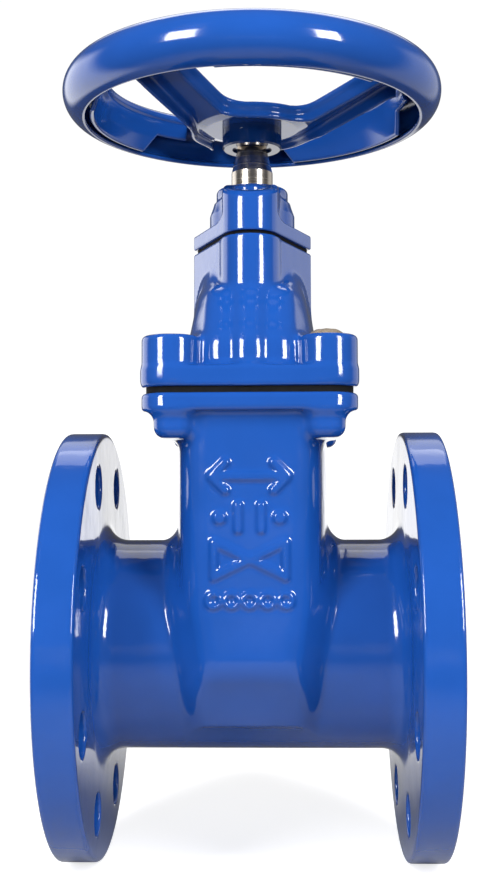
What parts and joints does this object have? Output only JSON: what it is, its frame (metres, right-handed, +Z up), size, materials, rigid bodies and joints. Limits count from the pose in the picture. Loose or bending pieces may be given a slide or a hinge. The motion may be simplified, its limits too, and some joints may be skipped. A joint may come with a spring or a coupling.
{
  "type": "gate valve",
  "caption": "Flanged gate valve with a resilient wedge, a non-rising stem and a pressed handwheel; turning the wheel lifts the wedge clear of a full round bore.",
  "frame": {"origin": "where the stem axis meets the bore axis, at mid face-to-face", "axes": "+X along the pipe, +Y horizontal across it, +Z up the stem"},
  "size_m": [0.1832, 0.2, 0.3763],
  "materials": {
    "blue_epoxy_casting": "glossy blue epoxy on cast iron",
    "blue_enamel_steel": "glossy blue enamel on pressed steel",
    "stainless_stem": "turned stainless steel",
    "zinc_steel": "zinc plated",
    "black_rubber": "matt",
    "brass": "machined",
    "ductile_iron": "as cast",
    "white_plastic": "moulded",
    "sealing_wax": "poured wax"
  },
  "bodies": {
    "casing": {"valve_body": "blue_epoxy_casting", "bonnet": "blue_epoxy_casting", "bonnet_gasket": "black_rubber", "bonnet_screws": "zinc_steel", "wax_seals": "sealing_wax", "gland_cover": "blue_epoxy_casting", "gland_gasket": "black_rubber", "gland_screws": "zinc_steel", "gland_bush": "brass", "bush_outer_o_rings": "black_rubber", "bush_inner_o_rings": "black_rubber", "wiper_ring": "black_rubber", "back_seal": "black_rubber", "thrust_washer_lower": "white_plastic", "thrust_washer_upper": "white_plastic"},
    "stem_and_wheel": {"stem": "stainless_stem", "handwheel": "blue_enamel_steel", "handwheel_hub": "blue_enamel_steel", "handwheel_washer": "zinc_steel", "handwheel_lock_washer": "zinc_steel", "handwheel_screw": "zinc_steel"},
    "wedge": {"wedge_core": "ductile_iron", "wedge_rubber": "black_rubber", "wedge_nut": "brass", "wedge_guide_shoes": "white_plastic"}
  },
  "joints": [
    {"name": "stem_turn", "type": "hinge", "parent": "casing", "child": "stem_and_wheel", "pos_m": [0, 0, 0.18], "axis": [0, 0, 1], "range_deg": [-7381, 0]},
    {"name": "wedge_travel", "type": "slide", "parent": "casing", "child": "wedge", "axis": [0, 0, 1], "range_m": [-0.082, 0]}
  ],
  "couplings": [
    {"joint": "stem_turn", "follows": "wedge_travel", "rad_per_m": 1570.8}
  ]
}
